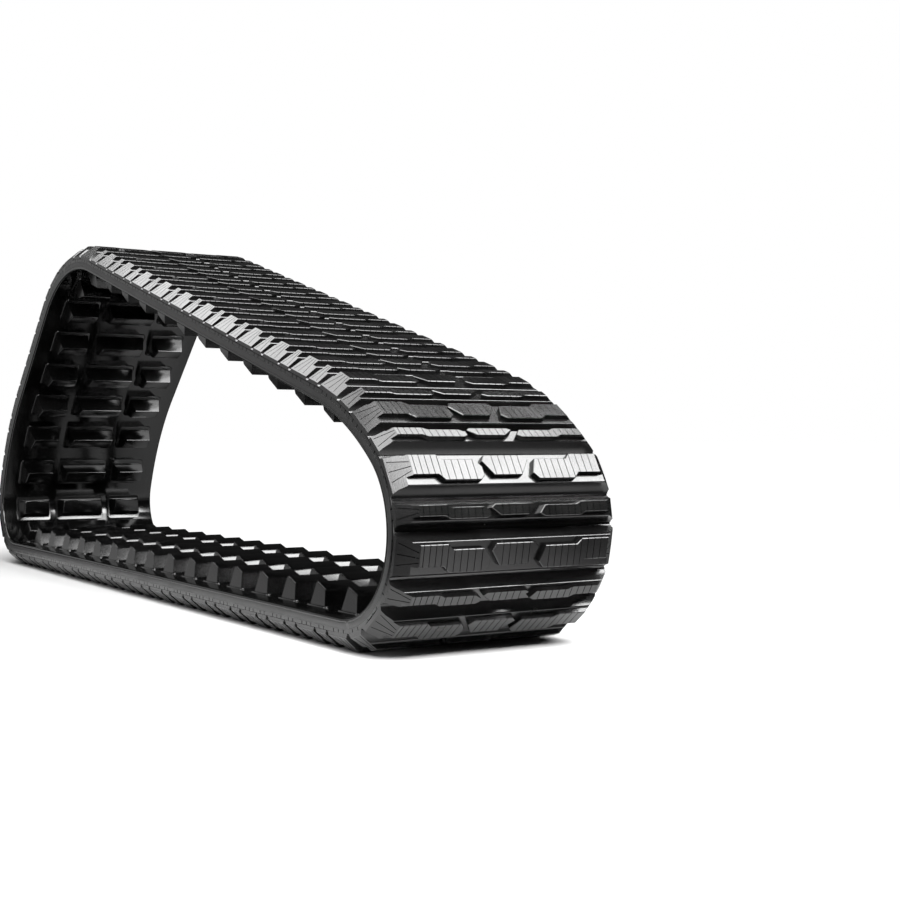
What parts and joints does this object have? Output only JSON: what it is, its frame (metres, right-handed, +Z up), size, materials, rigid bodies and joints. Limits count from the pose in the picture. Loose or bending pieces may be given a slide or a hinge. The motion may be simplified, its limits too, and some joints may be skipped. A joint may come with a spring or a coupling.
{
  "type": "rubber track",
  "caption": "Endless all-rubber track for a compact loader: stepped cross bars outside, three rows of drive lugs inside, free-standing in a rounded wedge loop.",
  "frame": {"origin": "centre of the bounding box at ground level, where the bars of the bottom run stand", "axes": "+X along the bottom run to the round nose, +Y across the belt, +Z up"},
  "size_m": [1.954, 0.381, 0.7172],
  "materials": {
    "tread_rubber": "moulded carbon-black rubber, semi-gloss with a fine grain",
    "cover_rubber": "moulded carbon-black rubber, smooth semi-gloss",
    "lug_rubber": "hard moulded rubber, smooth and slightly glossy",
    "bias_fabric": "rubberised square-woven polyamide fabric laid at an angle",
    "breaker_fabric": "rubberised cross-cord breaker fabric",
    "tension_cord": "lengthwise twisted polyester cords in rubber"
  },
  "bodies": {
    "bottom_run": {"bottom_inner_cover": "cover_rubber", "bottom_inner_ply": "bias_fabric", "bottom_cord_layer": "tension_cord", "bottom_outer_ply": "bias_fabric", "bottom_breaker_ply": "breaker_fabric", "bottom_outer_cover": "cover_rubber", "bottom_left_edge": "cover_rubber", "bottom_right_edge": "cover_rubber", "bottom_wide_bars": "tread_rubber", "bottom_narrow_bars": "tread_rubber", "bottom_left_lugs": "lug_rubber", "bottom_centre_lugs": "lug_rubber", "bottom_right_lugs": "lug_rubber"},
    "nose": {"nose_inner_cover": "cover_rubber", "nose_inner_ply": "bias_fabric", "nose_cord_layer": "tension_cord", "nose_outer_ply": "bias_fabric", "nose_breaker_ply": "breaker_fabric", "nose_outer_cover": "cover_rubber", "nose_left_edge": "cover_rubber", "nose_right_edge": "cover_rubber", "nose_wide_bars": "tread_rubber", "nose_narrow_bars": "tread_rubber", "nose_left_lugs": "lug_rubber", "nose_centre_lugs": "lug_rubber", "nose_right_lugs": "lug_rubber"},
    "top_run": {"top_inner_cover": "cover_rubber", "top_inner_ply": "bias_fabric", "top_cord_layer": "tension_cord", "top_outer_ply": "bias_fabric", "top_breaker_ply": "breaker_fabric", "top_outer_cover": "cover_rubber", "top_left_edge": "cover_rubber", "top_right_edge": "cover_rubber", "top_wide_bars": "tread_rubber", "top_narrow_bars": "tread_rubber", "top_left_lugs": "lug_rubber", "top_centre_lugs": "lug_rubber", "top_right_lugs": "lug_rubber"},
    "rear_run": {"rear_inner_cover": "cover_rubber", "rear_inner_ply": "bias_fabric", "rear_cord_layer": "tension_cord", "rear_outer_ply": "bias_fabric", "rear_breaker_ply": "breaker_fabric", "rear_outer_cover": "cover_rubber", "rear_left_edge": "cover_rubber", "rear_right_edge": "cover_rubber", "rear_wide_bars": "tread_rubber", "rear_narrow_bars": "tread_rubber", "rear_left_lugs": "lug_rubber", "rear_centre_lugs": "lug_rubber", "rear_right_lugs": "lug_rubber"}
  },
  "joints": [
    {"name": "rear_bend", "type": "hinge", "parent": "bottom_run", "child": "rear_run", "pos_m": [-0.90362, 0, 0.06913], "axis": [0, 1, 0], "range_deg": [-1.5, 1.5], "stiffness_Nm_per_rad": 60000},
    {"name": "crown_bend", "type": "hinge", "parent": "rear_run", "child": "top_run", "pos_m": [-0.45808, 0, 0.666], "axis": [0, 1, 0], "range_deg": [-2.1, 2.1], "stiffness_Nm_per_rad": 60000},
    {"name": "nose_bend", "type": "hinge", "parent": "bottom_run", "child": "nose", "pos_m": [0.81664, 0, 0.0439], "axis": [0, 1, 0], "range_deg": [-3.7, 3.7], "stiffness_Nm_per_rad": 60000}
  ],
  "couplings": [
    {"joint": "crown_bend", "follows": "rear_bend", "ratio": -1.3547},
    {"joint": "nose_bend", "follows": "rear_bend", "ratio": 2.4135}
  ]
}
